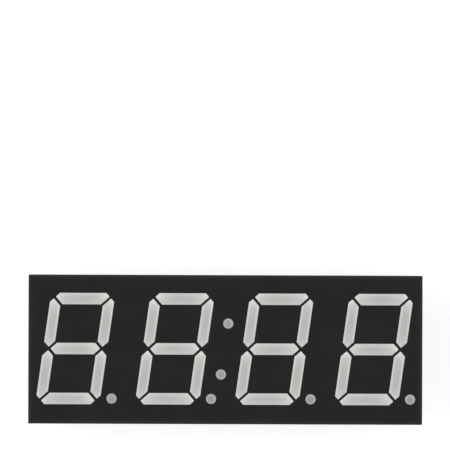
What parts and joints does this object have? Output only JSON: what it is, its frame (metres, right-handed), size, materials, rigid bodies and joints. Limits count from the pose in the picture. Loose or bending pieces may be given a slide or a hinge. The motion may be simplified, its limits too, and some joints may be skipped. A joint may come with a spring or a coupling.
{
  "type": "seven segment display module",
  "caption": "Flat black display module with slanted seven segment digits, decimal points and a colon, a moulded reflector housing, a potted back and two rows of straight pins.",
  "frame": {"origin": "centre of the housing's rear rim, the plane that seats on the carrying circuit board", "axes": "+X along the row of digits from the first to the last, +Y up the digits, +Z out of the face"},
  "size_m": [0.0502, 0.019, 0.013],
  "materials": {
    "housing": "matt black coat on a white moulding",
    "light_guide": "milky cast resin, satin",
    "dot_guide": "milky cast resin, satin",
    "chip": "small gold coloured crystal",
    "bond_wire": "bright gold wire",
    "board": "green laminate",
    "pin": "bright tinned wire",
    "solder": "smooth solder",
    "potting": "milky cast resin, glossy"
  },
  "bodies": {
    "root": {"housing": "housing", "digit_1_segment_a": "light_guide", "digit_1_segment_b": "light_guide", "digit_1_segment_c": "light_guide", "digit_1_segment_d": "light_guide", "digit_1_segment_e": "light_guide", "digit_1_segment_f": "light_guide", "digit_1_segment_g": "light_guide", "digit_2_segment_a": "light_guide", "digit_2_segment_b": "light_guide", "digit_2_segment_c": "light_guide", "digit_2_segment_d": "light_guide", "digit_2_segment_e": "light_guide", "digit_2_segment_f": "light_guide", "digit_2_segment_g": "light_guide", "digit_3_segment_a": "light_guide", "digit_3_segment_b": "light_guide", "digit_3_segment_c": "light_guide", "digit_3_segment_d": "light_guide", "digit_3_segment_e": "light_guide", "digit_3_segment_f": "light_guide", "digit_3_segment_g": "light_guide", "digit_4_segment_a": "light_guide", "digit_4_segment_b": "light_guide", "digit_4_segment_c": "light_guide", "digit_4_segment_d": "light_guide", "digit_4_segment_e": "light_guide", "digit_4_segment_f": "light_guide", "digit_4_segment_g": "light_guide", "digit_1_decimal_point": "dot_guide", "digit_2_decimal_point": "dot_guide", "digit_3_decimal_point": "dot_guide", "digit_4_decimal_point": "dot_guide", "colon_upper_dot": "dot_guide", "colon_lower_dot": "dot_guide", "digit_1_led_chips": "chip", "digit_2_led_chips": "chip", "digit_3_led_chips": "chip", "digit_4_led_chips": "chip", "colon_led_chips": "chip", "bond_wires": "bond_wire", "circuit_board": "board", "pin_1": "pin", "pin_2": "pin", "pin_3": "pin", "pin_4": "pin", "pin_5": "pin", "pin_6": "pin", "pin_7": "pin", "pin_8": "pin", "pin_9": "pin", "pin_10": "pin", "pin_11": "pin", "pin_12": "pin", "pin_13": "pin", "pin_14": "pin", "solder_joints": "solder", "rear_potting": "potting"}
  },
  "joints": []
}
